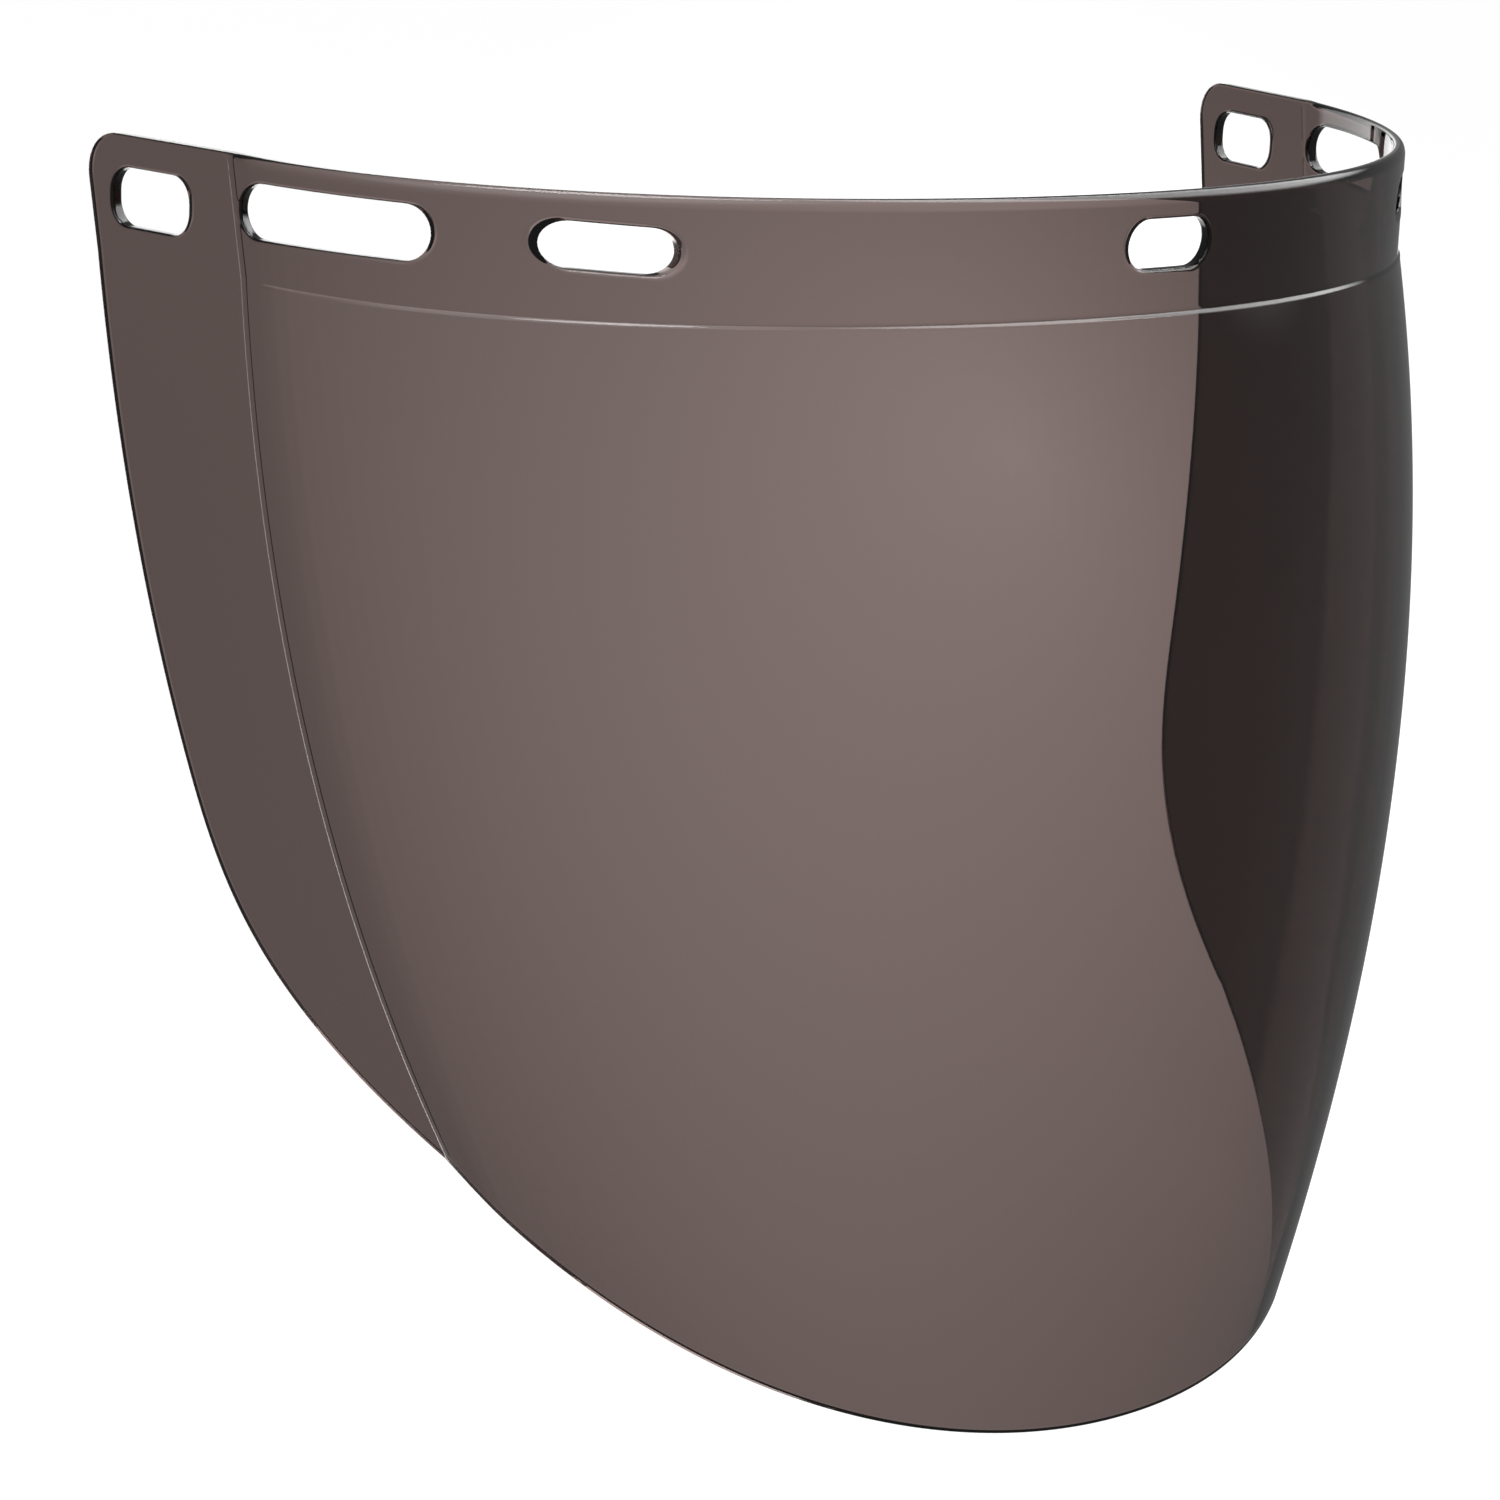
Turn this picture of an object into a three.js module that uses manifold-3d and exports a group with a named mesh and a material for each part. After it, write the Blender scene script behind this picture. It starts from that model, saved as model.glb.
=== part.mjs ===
// Face-shield visor: one injection-moulded, tinted, transparent window.
// Millimetres, +Z up, the window faces -Y, mirror symmetric about the plane X = 0.
// The origin is midway between the two ear holes that carry the visor.
//
// A place on the outer face is given by "along", the developed distance from the front
// centre (positive towards +X), and by "level", its height above the rim's front centre.
// Each level line drops a little towards the rear on the wings.

import * as THREE from 'three';
import { ParametricGeometry } from 'three/addons/geometries/ParametricGeometry.js';
import { mergeVertices } from 'three/addons/utils/BufferGeometryUtils.js';
import Module from 'manifold-3d';

// ---- Driving dimensions ----

const WALL = 2.5;
const HALF_ARC = 189;

// Tangent angle of the plan curve in radians, u being 0 at the front centre and 1 at the
// crease: almost a circle, which tightens just ahead of the crease.
const planTangent = (u) => 1.18 * u + 0.1 * u ** 3 + 0.19 * u ** 9;

// Heights of the three long lines: a start, then terms in u^2, u^4 and u^6.
const RIM_LINE = [0, -7.9, 2.6];
const BAND_LINE = [-22.5, -8.2, 3.2];
const BOTTOM_LINE = [-237.6, 21.8, 6.1, 14.2];

// The crease leans inside the band. Below the band it drifts inwards and forwards, by
// terms in the depth, its square and its cube. So does the window's centre line, forwards.
const DEPTH_UNIT = 126;
const CREASE_LEAN = new THREE.Vector2(0.038, 0.242);
const CREASE_INWARD = [-3.1, 21.2, 0.1];
const CREASE_FORWARD = [28.2, -6.9, 4.1];
const CENTRE_FORWARD = [37.6, -14.3, 0.4];

// Rear wing: plan direction (with its twist below the band), width, the level where its
// rear edge starts to curve in to the foot of the crease, and the drop of its rim.
const WING_ANGLE = 1.394;
const WING_TWIST = [0.142, -0.111];
const WING_WIDTH = 39.8;
const WING_BEND_LEVEL = -124;
const WING_BEND_POWER = 3.3;
const WING_RIM_DROP = 0.055;
const EAR_CORNER = 9;

// The window stands proud of the band, below a short ramp under the band line.
const PROUD = 0.4;
const RAMP = 1.2;

// Slots, mirrored to both sides. "below" is the depth of the centre under the rim.
const EAR_HOLE = { along: HALF_ARC + 23, below: 11.4, width: 21, height: 10.9, corner: 4.6 };
const LONG_SLOT = { along: 165.4, below: 9.4, width: 40, height: 10.1, corner: 5.05 };
const MEDIUM_SLOT = { along: 110.6, below: 9.8, width: 25.2, height: 8.4, corner: 4.2 };
const CENTRE_SLOT = { along: 0, below: 9.6, width: 20.4, height: 9.4, corner: 4.7 };

// Mesh density, and the length of the tools that cut the slots.
const FRONT_STEPS = 16;
const WING_STEPS = 4;
const WINDOW_STEPS = 14;
const PLAN_STEPS = 240;
const CORNER_SEGMENTS = 6;
const CUTTER_LENGTH = 40;

// ---- Lines of the moulding ----

const powerSum = (x, terms) => terms.reduce((sum, c, i) => sum + c * x ** (i + 1), 0);
const lineHeight = (u, [start, ...rest]) => start + powerSum(u * u, rest);
const depthBelow = (line, level) => Math.max(line - level, 0) / DEPTH_UNIT;

const CREASE_TOP = lineHeight(1, RIM_LINE);
const CREASE_BAND = lineHeight(1, BAND_LINE);
const CREASE_FOOT = lineHeight(1, BOTTOM_LINE);

// The plan curve, integrated from its tangent.
const planTable = [new THREE.Vector2(0, 0)];
for (let i = 0; i < PLAN_STEPS; i++) {
  const angle = planTangent((i + 0.5) / PLAN_STEPS);
  const direction = new THREE.Vector2(Math.cos(angle), Math.sin(angle));
  planTable.push(planTable[i].clone().addScaledVector(direction, HALF_ARC / PLAN_STEPS));
}
const PLAN_END = planTable[PLAN_STEPS];

// Plan position at u as a fraction of the crease's plan position.
function planShare(u) {
  const place = u * PLAN_STEPS;
  const i = Math.min(Math.floor(place), PLAN_STEPS - 1);
  return planTable[i].clone().lerp(planTable[i + 1], place - i).divide(PLAN_END);
}

function creasePoint(level) {
  const depth = depthBelow(CREASE_BAND, level);
  const leanHeight = Math.max(level, CREASE_BAND);
  return new THREE.Vector2(
    PLAN_END.x + CREASE_LEAN.x * leanHeight - powerSum(depth, CREASE_INWARD),
    PLAN_END.y + CREASE_LEAN.y * leanHeight - powerSum(depth, CREASE_FORWARD),
  );
}

// ---- Outer face, before the window's step ----

function wingPoint(side, beyond, level) {
  const crease = creasePoint(level);
  const angle = WING_ANGLE + powerSum(depthBelow(CREASE_BAND, level), WING_TWIST);
  const dropShare = Math.min((level - CREASE_FOOT) / (CREASE_BAND - CREASE_FOOT), 1);
  const x = crease.x + beyond * Math.cos(angle);
  const y = crease.y + beyond * Math.sin(angle);
  return new THREE.Vector3(side * x, y, level - WING_RIM_DROP * beyond * dropShare);
}

function frontPoint(side, u, level) {
  const crease = creasePoint(level);
  const share = planShare(u);
  const forward = powerSum(depthBelow(lineHeight(u, BAND_LINE), level), CENTRE_FORWARD);
  const y = crease.y * share.y - forward * (1 - u ** 3);
  return new THREE.Vector3(side * crease.x * share.x, y, level);
}

function outerPoint(along, level) {
  const side = Math.sign(along) || 1;
  const distance = Math.abs(along);
  if (distance > HALF_ARC) return wingPoint(side, distance - HALF_ARC, level);
  return frontPoint(side, distance / HALF_ARC, level);
}

function outerFrame(along, level) {
  const reach = 0.5;
  const sideways = outerPoint(along + reach, level).sub(outerPoint(along - reach, level));
  const upwards = outerPoint(along, level + reach).sub(outerPoint(along, level - reach));
  const outwards = sideways.clone().cross(upwards).normalize();
  return { sideways: sideways.normalize(), outwards };
}

// ---- The shell, as rows from rim to bottom edge and columns from wing to wing ----

const row = (levelAt, isWindow = false) => ({ levelAt, isWindow });
const rimLevel = (u) => lineHeight(u, RIM_LINE);
const bandLevel = (u) => lineHeight(u, BAND_LINE);
const bottomLevel = (u) => lineHeight(u, BOTTOM_LINE);

const rows = [0, 0.6, 2.2, 5, EAR_CORNER].map((below) => row((u) => rimLevel(u) - below));
rows.push(row((u) => bandLevel(u)));
for (let i = 0; i <= WINDOW_STEPS; i++) {
  const share = i / WINDOW_STEPS;
  const top = (u) => bandLevel(u) - RAMP;
  rows.push(row((u) => top(u) + share * (bottomLevel(u) - top(u)), true));
}

// Width of the wing at a level, with the rounded ear corner at its top.
function wingWidth(level) {
  const bend = Math.max(WING_BEND_LEVEL - level, 0) / (WING_BEND_LEVEL - CREASE_FOOT);
  const reach = Math.max(EAR_CORNER - (CREASE_TOP - level), 0);
  const corner = EAR_CORNER - Math.sqrt(EAR_CORNER ** 2 - reach ** 2);
  return WING_WIDTH * (1 - bend ** WING_BEND_POWER) - corner;
}

const columns = [];
for (let i = -WING_STEPS - FRONT_STEPS; i <= WING_STEPS + FRONT_STEPS; i++) {
  const steps = Math.abs(i);
  const front = Math.min(steps / FRONT_STEPS, 1);
  const wing = Math.max(steps - FRONT_STEPS, 0) / WING_STEPS;
  columns.push({ side: Math.sign(i), front, wing });
}

function shellPoint(column, { levelAt, isWindow }, isInner) {
  const level = levelAt(column.front);
  const beyond = column.wing > 0 ? column.wing * wingWidth(level) : 0;
  const along = column.side * (column.front * HALF_ARC + beyond);
  const { outwards } = outerFrame(along, level);
  const step = isWindow && column.front < 1 ? PROUD : 0;
  return outerPoint(along, level).addScaledVector(outwards, isInner ? step - WALL : step);
}

function shellGeometry() {
  const loopLength = 2 * rows.length;
  const columnSpan = columns.length + 1;
  const pointAt = (v, u, target) => {
    const c = Math.round(u * columnSpan) - 1;
    const k = Math.round(v * loopLength) % loopLength;
    const isEndCap = c < 0 || c >= columns.length;
    const column = columns[THREE.MathUtils.clamp(c, 0, columns.length - 1)];
    const isInner = k >= rows.length;
    const rowIndex = isInner ? loopLength - 1 - k : k;
    target.copy(shellPoint(column, rows[rowIndex], isInner || isEndCap));
  };
  return new ParametricGeometry(pointAt, loopLength, columnSpan);
}

// ---- Slots ----

function slotShape({ width, height, corner }) {
  const x = width / 2;
  const y = height / 2;
  const shape = new THREE.Shape();
  shape.moveTo(corner - x, -y);
  shape.lineTo(x - corner, -y);
  shape.absarc(x - corner, corner - y, corner, -Math.PI / 2, 0);
  shape.absarc(x - corner, y - corner, corner, 0, Math.PI / 2);
  shape.lineTo(corner - x, y);
  shape.absarc(corner - x, y - corner, corner, Math.PI / 2, Math.PI);
  shape.absarc(corner - x, corner - y, corner, Math.PI, Math.PI * 1.5);
  return shape;
}

const rimLevelAt = (distance) => rimLevel(Math.min(distance / HALF_ARC, 1));

function slotCentre(slot, side) {
  return { along: side * slot.along, level: rimLevelAt(slot.along) - slot.below };
}

function cutter(slot, origin, right, outwards) {
  const up = outwards.clone().cross(right).normalize();
  const settings = { depth: CUTTER_LENGTH, bevelEnabled: false, curveSegments: CORNER_SEGMENTS };
  const geometry = new THREE.ExtrudeGeometry(slotShape(slot), settings);
  geometry.translate(0, 0, -CUTTER_LENGTH / 2);
  geometry.applyMatrix4(new THREE.Matrix4().makeBasis(right, up, outwards).setPosition(origin));
  return geometry;
}

// Ear holes and long slots are cut square to the wall, and follow the rim.
function squareCutter(slot, side) {
  const { along, level } = slotCentre(slot, side);
  const { sideways, outwards } = outerFrame(along, level);
  const slope = side * (rimLevelAt(slot.along + 1) - rimLevelAt(slot.along - 1)) / 2;
  const right = sideways.clone().add(new THREE.Vector3(0, 0, slope));
  right.addScaledVector(outwards, -right.dot(outwards)).normalize();
  return cutter(slot, outerPoint(along, level), right, outwards);
}

// Medium and centre slots are cut along Y, the direction in which the mould opens, so
// their width across X is the developed width foreshortened.
function drawnCutter(slot, side) {
  const { along, level } = slotCentre(slot, side);
  const width = slot.width * outerFrame(along, level).sideways.x;
  const right = new THREE.Vector3(1, 0, 0);
  const outwards = new THREE.Vector3(0, -1, 0);
  return cutter({ ...slot, width }, outerPoint(along, level), right, outwards);
}

// ---- Booleans ----

const wasm = await Module();
wasm.setup();

function toSolid(geometry) {
  geometry.deleteAttribute('normal');
  geometry.deleteAttribute('uv');
  const merged = mergeVertices(geometry, 1e-4);
  const corners = merged.index.array;
  const triangles = [];
  for (let i = 0; i < corners.length; i += 3) {
    const [a, b, c] = corners.slice(i, i + 3);
    if (a !== b && b !== c && c !== a) triangles.push(a, b, c);
  }
  const vertProperties = Float32Array.from(merged.attributes.position.array);
  const triVerts = Uint32Array.from(triangles);
  return new wasm.Manifold(new wasm.Mesh({ numProp: 3, vertProperties, triVerts }));
}

function toGeometry(solid) {
  const mesh = solid.getMesh();
  const geometry = new THREE.BufferGeometry();
  geometry.setAttribute('position', new THREE.BufferAttribute(mesh.vertProperties, 3));
  geometry.setIndex(new THREE.BufferAttribute(mesh.triVerts, 1));
  geometry.computeVertexNormals();
  return geometry;
}

// ---- The visor ----

function visorMesh() {
  const cutters = [drawnCutter(CENTRE_SLOT, 1)];
  for (const side of [-1, 1]) {
    cutters.push(drawnCutter(MEDIUM_SLOT, side));
    cutters.push(squareCutter(LONG_SLOT, side));
    cutters.push(squareCutter(EAR_HOLE, side));
  }
  let solid = toSolid(shellGeometry());
  for (const geometry of cutters) solid = solid.subtract(toSolid(geometry));

  const material = new THREE.MeshStandardMaterial({
    color: 0x7d706a,
    roughness: 0.08,
    metalness: 0,
    transparent: true,
    opacity: 0.6,
  });
  const mesh = new THREE.Mesh(toGeometry(solid), material);
  mesh.name = 'visor';
  const { along, level } = slotCentre(EAR_HOLE, 1);
  const earHole = outerPoint(along, level);
  mesh.position.set(0, -earHole.y, -earHole.z);
  return mesh;
}

const faceShield = new THREE.Group();
faceShield.add(visorMesh());

export default faceShield;
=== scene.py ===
"""A tinted, transparent face-shield visor, rendered on a pale floor with a painted pool of light."""
import math

import bmesh
import bpy
import numpy as np
from mathutils import Matrix, Vector
from mathutils.geometry import delaunay_2d_cdt


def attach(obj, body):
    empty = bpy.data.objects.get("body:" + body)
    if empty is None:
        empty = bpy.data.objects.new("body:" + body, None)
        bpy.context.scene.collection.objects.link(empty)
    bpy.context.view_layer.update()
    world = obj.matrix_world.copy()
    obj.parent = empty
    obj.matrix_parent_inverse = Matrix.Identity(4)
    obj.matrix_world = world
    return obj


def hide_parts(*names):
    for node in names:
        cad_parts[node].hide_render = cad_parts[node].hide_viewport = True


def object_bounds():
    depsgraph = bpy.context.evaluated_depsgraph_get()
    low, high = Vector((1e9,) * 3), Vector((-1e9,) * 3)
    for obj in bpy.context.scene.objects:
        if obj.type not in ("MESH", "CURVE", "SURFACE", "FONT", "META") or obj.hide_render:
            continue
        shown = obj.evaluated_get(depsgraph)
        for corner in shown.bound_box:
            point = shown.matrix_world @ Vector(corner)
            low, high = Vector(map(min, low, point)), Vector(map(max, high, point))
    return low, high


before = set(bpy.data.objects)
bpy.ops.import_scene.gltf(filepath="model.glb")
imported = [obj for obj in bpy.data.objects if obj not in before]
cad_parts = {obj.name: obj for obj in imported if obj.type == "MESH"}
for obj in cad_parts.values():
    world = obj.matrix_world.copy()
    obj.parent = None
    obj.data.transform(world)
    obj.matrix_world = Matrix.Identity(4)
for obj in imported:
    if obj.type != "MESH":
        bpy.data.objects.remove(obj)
cad_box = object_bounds()

MM = 0.001

# ---- The moulding's driving dimensions, in millimetres, as in the CAD model ----

WALL = 2.5
HALF_ARC = 189.0
RIM_LINE = (0.0, -7.9, 2.6)
BAND_LINE = (-22.5, -8.2, 3.2)
BOTTOM_LINE = (-237.6, 21.8, 6.1, 14.2)
DEPTH_UNIT = 126.0
CREASE_LEAN = (0.038, 0.242)
CREASE_INWARD = (-3.1, 21.2, 0.1)
CREASE_FORWARD = (28.2, -6.9, 4.1)
CENTRE_FORWARD = (37.6, -14.3, 0.4)
WING_ANGLE = 1.394
WING_TWIST = (0.142, -0.111)
WING_WIDTH = 39.8
WING_BEND_Z = -124.0
WING_BEND_POWER = 3.3
WING_RIM_DROP = 0.055
EAR_CORNER = 9.0
PROUD = 0.4
RAMP = 1.2

# along, below, width, height, corner radius and whether it is cut along Y
EAR_HOLE = (HALF_ARC + 23, 11.4, 21.0, 10.9, 4.6, False)
LONG_SLOT = (165.4, 9.4, 40.0, 10.1, 5.05, False)
MEDIUM_SLOT = (110.6, 9.8, 25.2, 8.4, 4.2, True)
CENTRE_SLOT = (0.0, 9.6, 20.4, 9.4, 4.7, True)

# ---- Finer shape than the CAD model carries ----

# The step beside the crease is mostly a gentle run-out, with a crisp line at its foot.
CREASE_RUN_OUT = 12.0
CREASE_LINE = 0.5
CREASE_LINE_STEP = 0.07
WING_EXTRA_WALL = 0.15
BAND_EXTRA_WALL = 0.12
BAND_LINE_WIDTH = 0.8
# Rounded edges: how far each reaches down the face, and what share of the wall it takes.
RIM_BEVEL = (2.2, 0.55)
EDGE_BEVEL = (0.6, 0.25)
SLOT_BEVEL = (0.9, 0.38)
INNER_BEVEL = (0.6, 0.25)
RIM_LINE_DEPTH = 0.25
BEVEL_SEGMENTS = 6
GRID_STEP = 3.5
LOOP_STEP = 1.5
# Grid points keep this far from a loop, and the normals are taken over these short reaches.
LOOP_CLEARANCE = 0.75
WALL_REACH = 0.3
SHADING_REACH = 0.08


def power_sum(x, terms):
    return sum(c * x ** (i + 1) for i, c in enumerate(terms))


def line_height(u, line):
    return line[0] + power_sum(u * u, line[1:])


CREASE_TOP = line_height(1.0, RIM_LINE)
CREASE_BAND = line_height(1.0, BAND_LINE)
CREASE_FOOT = line_height(1.0, BOTTOM_LINE)


def plan_tangent(u):
    return 1.18 * u + 0.1 * u**3 + 0.19 * u**9


PLAN_STEPS = 960
plan_angles = plan_tangent((np.arange(PLAN_STEPS) + 0.5) / PLAN_STEPS)
plan_u = np.arange(PLAN_STEPS + 1) / PLAN_STEPS
plan_x = np.concatenate([[0.0], np.cumsum(np.cos(plan_angles))]) * HALF_ARC / PLAN_STEPS
plan_y = np.concatenate([[0.0], np.cumsum(np.sin(plan_angles))]) * HALF_ARC / PLAN_STEPS


def smooth(t):
    t = np.clip(t, 0.0, 1.0)
    return t * t * (3 - 2 * t)


def crease_point(level):
    depth = np.maximum(CREASE_BAND - level, 0) / DEPTH_UNIT
    lean = np.maximum(level, CREASE_BAND)
    x = plan_x[-1] + CREASE_LEAN[0] * lean - power_sum(depth, CREASE_INWARD)
    y = plan_y[-1] + CREASE_LEAN[1] * lean - power_sum(depth, CREASE_FORWARD)
    return x, y, depth


def moulding(along, level):
    """Outer face without its steps: developed position and height to X, Y, Z."""
    side = np.where(along < 0, -1.0, 1.0)
    distance = np.abs(along)
    edge_x, edge_y, edge_depth = crease_point(level)
    u = np.minimum(distance / HALF_ARC, 1.0)
    share_x = np.interp(u, plan_u, plan_x) / plan_x[-1]
    share_y = np.interp(u, plan_u, plan_y) / plan_y[-1]
    depth = np.maximum(line_height(u, BAND_LINE) - level, 0) / DEPTH_UNIT
    forward = power_sum(depth, CENTRE_FORWARD) * (1 - u**3)
    beyond = np.maximum(distance - HALF_ARC, 0)
    angle = WING_ANGLE + power_sum(edge_depth, WING_TWIST)
    x = edge_x * share_x + beyond * np.cos(angle)
    y = edge_y * share_y - forward + beyond * np.sin(angle)
    fade = np.minimum((level - CREASE_FOOT) / (CREASE_BAND - CREASE_FOOT), 1.0)
    return np.stack([side * x, y, level - WING_RIM_DROP * beyond * fade], -1)


def face_normal(face, along, level, reach):
    sideways = face(along + reach, level) - face(along - reach, level)
    upwards = face(along, level + reach) - face(along, level - reach)
    normal = np.cross(sideways, upwards)
    return normal / np.linalg.norm(normal, axis=-1, keepdims=True)


def window_share(along, level):
    """0 on the band and 1 on the window, across the ramp under the band line."""
    u = np.minimum(np.abs(along) / HALF_ARC, 1.0)
    return smooth((line_height(u, BAND_LINE) - level) / BAND_LINE_WIDTH)


def outer_face(along, level):
    ahead = HALF_ARC - np.abs(along)
    run_out = (PROUD - CREASE_LINE_STEP) * smooth(ahead / CREASE_RUN_OUT)
    crease_line = CREASE_LINE_STEP * smooth(ahead / CREASE_LINE)
    window = window_share(along, level)
    step = run_out * window + crease_line
    normal = face_normal(moulding, along, level, WALL_REACH)
    return moulding(along, level) + normal * step[..., None]


def inner_face(along, level):
    on_front = smooth((HALF_ARC - np.abs(along)) / CREASE_RUN_OUT)
    band_extra = BAND_EXTRA_WALL * (1 - window_share(along, level))
    wall = WALL + WING_EXTRA_WALL + (band_extra - WING_EXTRA_WALL) * on_front
    normal = face_normal(moulding, along, level, WALL_REACH)
    return outer_face(along, level) - normal * wall[..., None]


# ---- Flat layout: x is the developed position, y grows from the rim to the bottom edge ----

# Band and window have these fixed heights in the layout, whatever the level of their edges.

BAND_SPAN = 22.0
WINDOW_SPAN = 214.0


def to_layout(along, level):
    u = np.minimum(np.abs(along) / HALF_ARC, 1.0)
    rim = line_height(u, RIM_LINE)
    band = line_height(u, BAND_LINE)
    top = band - RAMP
    bottom = line_height(u, BOTTOM_LINE)
    in_band = (rim - level) / (rim - band) * BAND_SPAN
    in_window = BAND_SPAN + RAMP + (top - level) / (top - bottom) * WINDOW_SPAN
    y = np.where(level > band, in_band, np.where(level > top, BAND_SPAN + band - level, in_window))
    return np.stack([along, y], -1)


def from_layout(points):
    along, y = points[:, 0], points[:, 1]
    u = np.minimum(np.abs(along) / HALF_ARC, 1.0)
    rim = line_height(u, RIM_LINE)
    band = line_height(u, BAND_LINE)
    top = band - RAMP
    bottom = line_height(u, BOTTOM_LINE)
    in_band = rim - y / BAND_SPAN * (rim - band)
    in_window = top - (y - BAND_SPAN - RAMP) / WINDOW_SPAN * (top - bottom)
    on_ramp = band - (y - BAND_SPAN)
    level = np.where(y < BAND_SPAN, in_band, np.where(y < BAND_SPAN + RAMP, on_ramp, in_window))
    return along, level


# ---- Loops: the outline and the slots ----


def resample(points, step):
    """A closed polyline with points about a step apart."""
    closed = np.vstack([points, points[:1]])
    lengths = np.linalg.norm(np.diff(closed, axis=0), axis=1)
    travelled = np.concatenate([[0.0], np.cumsum(lengths)])
    count = int(travelled[-1] / step)
    where = np.arange(count) * travelled[-1] / count
    return np.stack([np.interp(where, travelled, closed[:, i]) for i in (0, 1)], -1)


def loop_normals(points):
    """Unit normals to the right of the direction of travel."""
    along = np.roll(points, -1, 0) - np.roll(points, 1, 0)
    normals = np.stack([along[:, 1], -along[:, 0]], -1)
    return normals / np.linalg.norm(normals, axis=1, keepdims=True)


def outline():
    """The visor's outline, anticlockwise seen from outside, in developed position and level."""
    wing_end = HALF_ARC + WING_WIDTH
    turn = np.linspace(0, math.pi / 2, 24)
    corner = np.stack(
        [
            wing_end - EAR_CORNER + EAR_CORNER * np.cos(turn),
            CREASE_TOP - EAR_CORNER + EAR_CORNER * np.sin(turn),
        ],
        -1,
    )
    level = np.linspace(CREASE_FOOT, CREASE_TOP - EAR_CORNER, 400)
    bend = np.maximum(WING_BEND_Z - level, 0) / (WING_BEND_Z - CREASE_FOOT)
    rear = np.stack([HALF_ARC + WING_WIDTH * (1 - bend**WING_BEND_POWER), level], -1)
    u = np.linspace(0, 1, 300)
    bottom = np.stack([u * HALF_ARC, line_height(u, BOTTOM_LINE)], -1)
    rim = np.stack([u[::-1] * HALF_ARC, line_height(u[::-1], RIM_LINE)], -1)
    right = np.vstack([bottom[:-1], rear[:-1], corner[:-1], rim[:-1]])
    top_centre = np.array([[0.0, RIM_LINE[0]]])
    left = right[1:][::-1] * np.array([-1.0, 1.0])
    return resample(np.vstack([right, top_centre, left]), LOOP_STEP)


def rounded_rectangle(width, height, corner):
    turn = np.linspace(0, math.pi / 2, 13)
    points = []
    for quarter in range(4):
        sign_x = 1 if quarter in (0, 3) else -1
        sign_y = 1 if quarter in (0, 1) else -1
        angle = turn + quarter * math.pi / 2
        x = sign_x * (width / 2 - corner) + corner * np.cos(angle)
        y = sign_y * (height / 2 - corner) + corner * np.sin(angle)
        points.append(np.stack([x, y], -1))
    return resample(np.vstack(points), LOOP_STEP / 2)


def on_face(face, centre, right, up, offsets, along, level):
    """Developed places where the face meets the lines that cut a slot's outline."""
    place = np.stack([along + offsets[:, 0], level + offsets[:, 1]], -1)
    for _ in range(12):
        here = face(place[:, 0], place[:, 1])
        step_a = (face(place[:, 0] + 0.1, place[:, 1]) - here) / 0.1
        step_l = (face(place[:, 0], place[:, 1] + 0.1) - here) / 0.1
        miss_r = offsets[:, 0] - (here - centre) @ right
        miss_u = offsets[:, 1] - (here - centre) @ up
        a, b, c, d = step_a @ right, step_l @ right, step_a @ up, step_l @ up
        det = a * d - b * c
        place[:, 0] += (d * miss_r - b * miss_u) / det
        place[:, 1] += (a * miss_u - c * miss_r) / det
    return place


def slot_loops(slot, side):
    """Inset loops on both faces and the true edges of one slot, in developed places."""
    along, below, width, height, corner, is_drawn = slot
    u = min(along / HALF_ARC, 1.0)
    level = line_height(u, RIM_LINE) - below
    here = np.array([side * along])
    centre = moulding(here, np.array([level]))[0]
    reach = 0.5
    rim_ahead = line_height(min((along + reach) / HALF_ARC, 1.0), RIM_LINE)
    rim_behind = line_height(min((along - reach) / HALF_ARC, 1.0), RIM_LINE)
    slope = side * (rim_ahead - rim_behind) / (2 * reach)
    ahead = moulding(here + reach, np.array([level + slope * reach]))[0]
    behind = moulding(here - reach, np.array([level - slope * reach]))[0]
    right = (ahead - behind) / np.linalg.norm(ahead - behind)
    normal = face_normal(moulding, here, np.array([level]), reach)[0]
    up = np.cross(normal, right)
    if is_drawn:
        width *= right[0]
        right = np.array([1.0, 0.0, 0.0])
        up = np.array([0.0, 0.0, 1.0])
    edge = rounded_rectangle(width, height, corner)
    loops = []
    for face, bevel in ((outer_face, SLOT_BEVEL), (inner_face, INNER_BEVEL)):
        for offsets in (edge + loop_normals(edge) * bevel[0], edge):
            loops.append(on_face(face, centre, right, up, offsets, side * along, level))
    outer_inset, outer_edge, inner_inset, inner_edge = loops
    part = np.full(len(edge), SLOT_BEVEL[1])
    return (outer_inset, outer_edge, inner_edge, inner_inset, part, np.zeros(len(edge)))


def outline_loops():
    edge = outline()
    on_rim = (edge[:, 1] > -40) & (np.abs(edge[:, 0]) < HALF_ARC)
    share = np.where(on_rim, smooth((HALF_ARC - np.abs(edge[:, 0])) / 6.0), 0.0)
    width = EDGE_BEVEL[0] + share * (RIM_BEVEL[0] - EDGE_BEVEL[0])
    part = EDGE_BEVEL[1] + share * (RIM_BEVEL[1] - EDGE_BEVEL[1])
    inset = edge - loop_normals(edge) * width[:, None]
    inner_inset = edge - loop_normals(edge) * INNER_BEVEL[0]
    return (inset, edge, edge, inner_inset, part, share * RIM_LINE_DEPTH)


# ---- Triangulated faces ----


def inside(points, loop):
    """Even-odd test of each point against a closed loop."""
    result = np.zeros(len(points), bool)
    x, y = points[:, 0], points[:, 1]
    for (x0, y0), (x1, y1) in zip(loop, np.roll(loop, -1, 0)):
        if y0 == y1:
            continue
        crosses = (y0 > y) != (y1 > y)
        result ^= crosses & (x < (x1 - x0) * (y - y0) / (y1 - y0) + x0)
    return result


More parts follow.
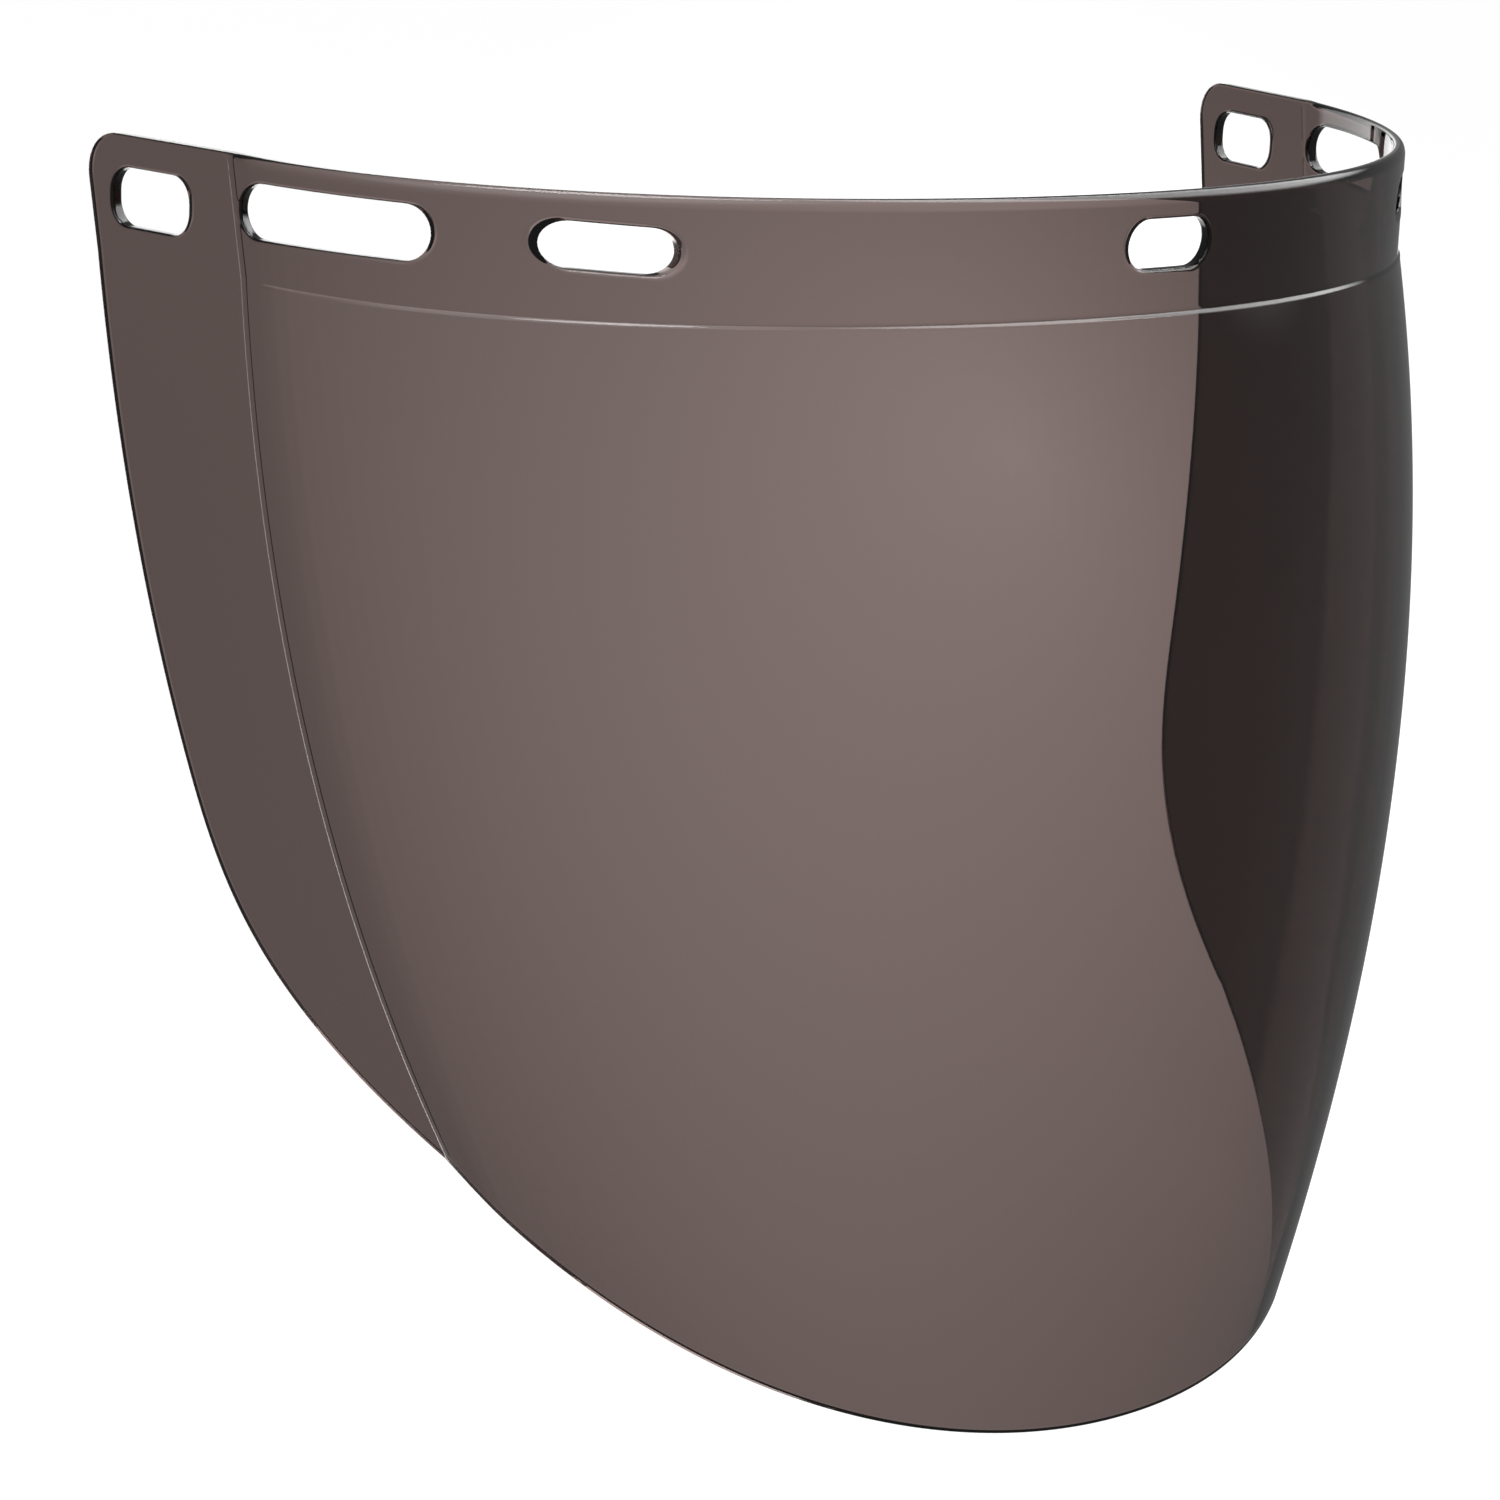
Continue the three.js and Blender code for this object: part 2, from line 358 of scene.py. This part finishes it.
def near_loop(points, loop, distance):
    result = np.zeros(len(points), bool)
    for place in loop:
        result |= np.abs(points - place).max(1) < distance
    return result


def grid_points():
    side = np.arange(GRID_STEP / 2, HALF_ARC - 3, GRID_STEP)
    ramp = HALF_ARC - CREASE_LINE * np.array([2.6, 1.7, 1.2, 1.0, 0.8, 0.6, 0.4, 0.2, 0.0, -0.3, -1])
    wing = np.arange(HALF_ARC + GRID_STEP / 2, HALF_ARC + WING_WIDTH, GRID_STEP)
    half = np.concatenate([side, ramp, wing])
    columns = np.concatenate([-half[::-1], half])
    band = np.arange(1.5, BAND_SPAN - 0.5, 2.2)
    shares = np.array([-0.3, -0.08, 0, 0.08, 0.16, 0.24, 0.33, 0.42, 0.5, 0.58, 0.66, 0.8, 1.1])
    ramp_rows = BAND_SPAN + RAMP * shares
    window = np.arange(BAND_SPAN + RAMP + 2, BAND_SPAN + RAMP + WINDOW_SPAN, GRID_STEP)
    rows = np.concatenate([band, ramp_rows, window])
    return np.array([(x, y) for x in columns for y in rows])


def triangulate(loops):
    """Triangles of the layout between the outline, which is first, and the holes."""
    layouts = [to_layout(loop[:, 0], loop[:, 1]) for loop in loops]
    points = grid_points()
    keep = inside(points, layouts[0])
    for layout in layouts:
        keep &= ~near_loop(points, layout, LOOP_CLEARANCE)
    for layout in layouts[1:]:
        keep &= ~inside(points, layout)
    corners, edges = [], []
    for layout in layouts:
        first = len(corners)
        corners.extend(map(tuple, layout))
        count = len(layout)
        edges.extend((first + i, first + (i + 1) % count) for i in range(count))
    corners.extend(map(tuple, points[keep]))
    made = delaunay_2d_cdt([Vector(c) for c in corners], edges, [], 0, 1e-7, True)
    found = np.array([tuple(v) for v in made[0]])
    triangles = np.array(made[2])
    source = [ids[0] if ids else -1 for ids in made[3]]
    centres = found[triangles].mean(1)
    wanted = inside(centres, layouts[0])
    for layout in layouts[1:]:
        wanted &= ~inside(centres, layout)
    exact = np.array([corners[s] if s >= 0 else tuple(f) for s, f in zip(source, found)])
    index = {s: i for i, s in enumerate(source) if s >= 0}
    starts = np.cumsum([0] + [len(layout) for layout in layouts])
    rings = [[index[s] for s in range(a, b)] for a, b in zip(starts, starts[1:])]
    return exact, triangles[wanted], rings


def unit(vectors):
    return vectors / np.linalg.norm(vectors, axis=-1, keepdims=True)


def bezier(start, middle, end, share):
    point = (1 - share) ** 2 * start + 2 * share * (1 - share) * middle + share**2 * end
    tangent = (1 - share) * (middle - start) + share * (end - middle)
    return point, tangent


def edge_rings(loops):
    """Points and normals of the rounded edge between the outer and inner faces."""
    outer_inset, outer_edge, inner_edge, inner_inset, part, sink = loops
    start = outer_face(*outer_inset.T)
    top = outer_face(*outer_edge.T)
    foot = inner_face(*inner_edge.T)
    end = inner_face(*inner_inset.T)
    shoulder = top + unit(foot - top) * sink[:, None]
    upper = top + (foot - top) * part[:, None]
    lower = foot + (top - foot) * INNER_BEVEL[1]
    rings = []
    for a, b, c in ((start, shoulder, upper), (lower, foot, end)):
        for i in range(BEVEL_SEGMENTS + 1):
            share = i / BEVEL_SEGMENTS
            point, tangent = bezier(a, b, c, share)
            around = np.roll(point, -1, 0) - np.roll(point, 1, 0)
            normal = unit(np.cross(around, tangent))
            outwards = top - start + foot - end
            flip = np.sign((normal * outwards).sum(1).mean()) or 1.0
            rings.append((point, normal * flip))
    return rings[1:-1]


def visor_mesh():
    sides = (-1, 1)
    slots = [(CENTRE_SLOT, 1)]
    slots += [(slot, side) for slot in (MEDIUM_SLOT, LONG_SLOT, EAR_HOLE) for side in sides]
    borders = [outline_loops()] + [slot_loops(slot, side) for slot, side in slots]

    points, normals, faces, face_rings = [], [], [], []
    for face, loop_index, sign in ((outer_face, 0, 1), (inner_face, 3, -1)):
        layout, triangles, rings = triangulate([border[loop_index] for border in borders])
        along, level = from_layout(layout)
        first = sum(len(p) for p in points)
        points.append(face(along, level))
        normals.append(sign * face_normal(face, along, level, SHADING_REACH))
        faces.extend(tuple(first + t) for t in triangles)
        face_rings.append([[first + i for i in ring] for ring in rings])

    for border, outer_ring, inner_ring in zip(borders, face_rings[0], face_rings[1]):
        chain = [outer_ring]
        for ring_points, ring_normals in edge_rings(border):
            first = sum(len(p) for p in points)
            points.append(ring_points)
            normals.append(ring_normals)
            chain.append(list(range(first, first + len(ring_points))))
        chain.append(inner_ring)
        count = len(outer_ring)
        for ring, following in zip(chain, chain[1:]):
            for i in range(count):
                j = (i + 1) % count
                faces.append((ring[i], ring[j], following[j], following[i]))
    return np.vstack(points), np.vstack(normals), faces


def place_origin(points):
    """Moves the origin from the rim's front centre to midway between the ear holes."""
    along, below = EAR_HOLE[:2]
    ear = moulding(np.array([along]), np.array([CREASE_TOP - below]))[0]
    return (points - np.array([0.0, ear[1], ear[2]])) * MM


def make_visor(material):
    points, normals, faces = visor_mesh()
    mesh = bpy.data.meshes.new("tinted_visor")
    mesh.from_pydata(place_origin(points).tolist(), [], [tuple(map(int, f)) for f in faces])
    shape = bmesh.new()
    shape.from_mesh(mesh)
    bmesh.ops.recalc_face_normals(shape, faces=shape.faces)
    shape.to_mesh(mesh)
    shape.free()
    mesh.polygons.foreach_set("use_smooth", [True] * len(mesh.polygons))
    mesh.normals_split_custom_set_from_vertices(normals.tolist())
    mesh.materials.append(material)
    visor = bpy.data.objects.new("tinted_visor", mesh)
    bpy.context.scene.collection.objects.link(visor)
    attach(visor, "root")
    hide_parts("visor")
    return visor


# ---- Material ----

POLYCARBONATE_IOR = 1.585
TINT_COLOUR = (0.255, 0.1455, 0.121, 1)
TINT_DENSITY = 1006.0
HAZE_SCALE = 9.0
HAZE_ROUGHNESS = 0.03
RIPPLE_SCALE = 22.0
RIPPLE_STRENGTH = 0.02


def tinted_polycarbonate():
    material = bpy.data.materials.new("tinted_polycarbonate")
    material.use_nodes = True
    tree = material.node_tree
    surface = tree.nodes["Principled BSDF"]
    surface.inputs["Base Color"].default_value = (1, 1, 1, 1)
    surface.inputs["Transmission Weight"].default_value = 1.0
    surface.inputs["IOR"].default_value = POLYCARBONATE_IOR
    tint = tree.nodes.new("ShaderNodeVolumeAbsorption")
    tint.inputs["Color"].default_value = TINT_COLOUR
    tint.inputs["Density"].default_value = TINT_DENSITY
    tree.links.new(tint.outputs["Volume"], tree.nodes["Material Output"].inputs["Volume"])

    place = tree.nodes.new("ShaderNodeTexCoord")
    haze = tree.nodes.new("ShaderNodeTexNoise")
    haze.inputs["Scale"].default_value = HAZE_SCALE
    haze.inputs["Detail"].default_value = 3.0
    spread = tree.nodes.new("ShaderNodeMapRange")
    spread.inputs["To Min"].default_value = 0.0
    spread.inputs["To Max"].default_value = HAZE_ROUGHNESS
    tree.links.new(place.outputs["Object"], haze.inputs["Vector"])
    tree.links.new(haze.outputs["Fac"], spread.inputs["Value"])
    tree.links.new(spread.outputs["Result"], surface.inputs["Roughness"])
    flow = tree.nodes.new("ShaderNodeTexNoise")
    flow.inputs["Scale"].default_value = RIPPLE_SCALE
    ripple = tree.nodes.new("ShaderNodeBump")
    ripple.inputs["Strength"].default_value = RIPPLE_STRENGTH
    ripple.inputs["Distance"].default_value = MM
    tree.links.new(place.outputs["Object"], flow.inputs["Vector"])
    tree.links.new(flow.outputs["Fac"], ripple.inputs["Height"])
    tree.links.new(ripple.outputs["Normal"], surface.inputs["Normal"])
    return material


# ---- Stage ----

VIEW_AZIMUTH = 0.7001
VIEW_ELEVATION = 0.3062
VIEW_ROLL = 0.0852
CAMERA_FROM_RIM = Vector((-550.8, -546.0, 130.2))
LENS = 101.4
FLOOR_SIZE = 12
FLOOR_GAP = 0.001
FLOOR_ALBEDO = 0.15

# The floor glows, from the first strength up to the second in an elliptical pool behind
# the visor, long in the direction of view: an even pale glow with a painted pool of light on it.
FLOOR_GLOW_AND_PAINTED_POOL = (0.83, 1.72)
PAINTED_POOL_CENTRE = (0.53, 0.47, 0)
PAINTED_POOL_RADII = (1.6, 0.32, 1)

# What the visor's faces mirror, which isn't what is seen through them: a dim room with a
# white sweep behind, a soft box above to the right and a weaker one above to the left.
# Each card has its direction, the cosines between which it fades in, and its strength.
REFLECTED_ROOM = 0.18
REFLECTED_CARDS = (
    ((0.25, 0.92, -0.3), 0.77, 0.84, 1.4),
    ((0.7, -0.15, 0.7), 0.77, 0.9, 3.5),
    ((-0.5, -0.3, 0.81), 0.78, 0.96, 1.0),
)


def pale_floor():
    bpy.ops.mesh.primitive_plane_add(size=FLOOR_SIZE, location=(0, 0, cad_box[0][2] - FLOOR_GAP))
    floor = bpy.context.object
    floor.name = "floor"
    material = bpy.data.materials.new("pale_floor")
    material.use_nodes = True
    tree = material.node_tree
    tree.nodes.remove(tree.nodes["Principled BSDF"])
    glow = tree.nodes.new("ShaderNodeEmission")
    matt = tree.nodes.new("ShaderNodeBsdfDiffuse")
    matt.inputs["Color"].default_value = (FLOOR_ALBEDO, FLOOR_ALBEDO, FLOOR_ALBEDO, 1)
    both = tree.nodes.new("ShaderNodeAddShader")
    tree.links.new(glow.outputs["Emission"], both.inputs[0])
    tree.links.new(matt.outputs["BSDF"], both.inputs[1])
    tree.links.new(both.outputs["Shader"], tree.nodes["Material Output"].inputs["Surface"])

    # Painted pool of light: the floor's glow rises towards an ellipse behind the visor, where no
    # lamp lights it.
    place = tree.nodes.new("ShaderNodeTexCoord")
    shift = tree.nodes.new("ShaderNodeMapping")
    shift.vector_type = "TEXTURE"
    shift.inputs["Location"].default_value = PAINTED_POOL_CENTRE
    shift.inputs["Rotation"].default_value = (0, 0, math.pi / 2 - VIEW_AZIMUTH)
    shift.inputs["Scale"].default_value = PAINTED_POOL_RADII
    painted_pool = tree.nodes.new("ShaderNodeTexGradient")
    painted_pool.gradient_type = "QUADRATIC_SPHERE"
    level = tree.nodes.new("ShaderNodeMapRange")
    level.inputs["To Min"].default_value, level.inputs["To Max"].default_value = FLOOR_GLOW_AND_PAINTED_POOL
    tree.links.new(place.outputs["Object"], shift.inputs["Vector"])
    tree.links.new(shift.outputs["Vector"], painted_pool.inputs["Vector"])
    tree.links.new(painted_pool.outputs["Fac"], level.inputs["Value"])
    tree.links.new(level.outputs["Result"], glow.inputs["Strength"])
    floor.data.materials.append(material)
    floor.visible_glossy = False


def white_studio():
    world = bpy.data.worlds.new("studio")
    bpy.context.scene.world = world
    world.use_nodes = True
    tree = world.node_tree
    sky = tree.nodes["Background"]
    sky.inputs["Color"].default_value = (1, 1, 1, 1)
    path = tree.nodes.new("ShaderNodeLightPath")
    towards = tree.nodes.new("ShaderNodeTexCoord")
    total = tree.nodes.new("ShaderNodeValue").outputs["Value"]
    total.default_value = REFLECTED_ROOM
    for direction, start, end, strength in REFLECTED_CARDS:
        facing = tree.nodes.new("ShaderNodeVectorMath")
        facing.operation = "DOT_PRODUCT"
        facing.inputs[1].default_value = direction
        card = tree.nodes.new("ShaderNodeMapRange")
        card.interpolation_type = "SMOOTHSTEP"
        card.inputs["From Min"].default_value = start
        card.inputs["From Max"].default_value = end
        card.inputs["To Max"].default_value = strength
        together = tree.nodes.new("ShaderNodeMath")
        together.operation = "ADD"
        tree.links.new(towards.outputs["Generated"], facing.inputs[0])
        tree.links.new(facing.outputs["Value"], card.inputs["Value"])
        tree.links.new(card.outputs["Result"], together.inputs[0])
        tree.links.new(total, together.inputs[1])
        total = together.outputs["Value"]
    level = tree.nodes.new("ShaderNodeMix")
    level.inputs["A"].default_value = 1.0
    tree.links.new(path.outputs["Is Glossy Ray"], level.inputs["Factor"])
    tree.links.new(total, level.inputs["B"])
    tree.links.new(level.outputs["Result"], sky.inputs["Strength"])


def soft_box(name, place, size, power):
    light = bpy.data.lights.new(name, "AREA")
    light.shape = "RECTANGLE"
    light.size, light.size_y = size
    light.energy = power
    holder = bpy.data.objects.new(name, light)
    holder.location = place
    holder.rotation_euler = (-Vector(place)).to_track_quat("-Z", "Y").to_euler()
    bpy.context.scene.collection.objects.link(holder)
    holder.visible_camera = False


def photo_camera():
    azimuth, elevation = VIEW_AZIMUTH, VIEW_ELEVATION
    forward = Vector(
        (
            math.sin(azimuth) * math.cos(elevation),
            math.cos(azimuth) * math.cos(elevation),
            -math.sin(elevation),
        )
    )
    right = Vector((math.cos(azimuth), -math.sin(azimuth), 0))
    up = right.cross(forward)
    rolled_right = right * math.cos(VIEW_ROLL) + up * math.sin(VIEW_ROLL)
    rolled_up = up * math.cos(VIEW_ROLL) - right * math.sin(VIEW_ROLL)
    turn = Matrix((rolled_right, rolled_up, -forward)).transposed()
    data = bpy.data.cameras.new("camera")
    data.lens = LENS
    data.sensor_width = 36
    data.clip_end = 50
    camera = bpy.data.objects.new("camera", data)
    place = Vector(place_origin(np.array([CAMERA_FROM_RIM[:]]))[0])
    camera.matrix_world = Matrix.Translation(place) @ turn.to_4x4()
    bpy.context.scene.collection.objects.link(camera)
    bpy.context.scene.camera = camera


photo_camera()
make_visor(tinted_polycarbonate())
pale_floor()
white_studio()
soft_box("top_soft_box", (-0.4, -0.1, 1.8), (0.9, 0.9), 14)
bpy.context.scene.view_settings.view_transform = "Standard"
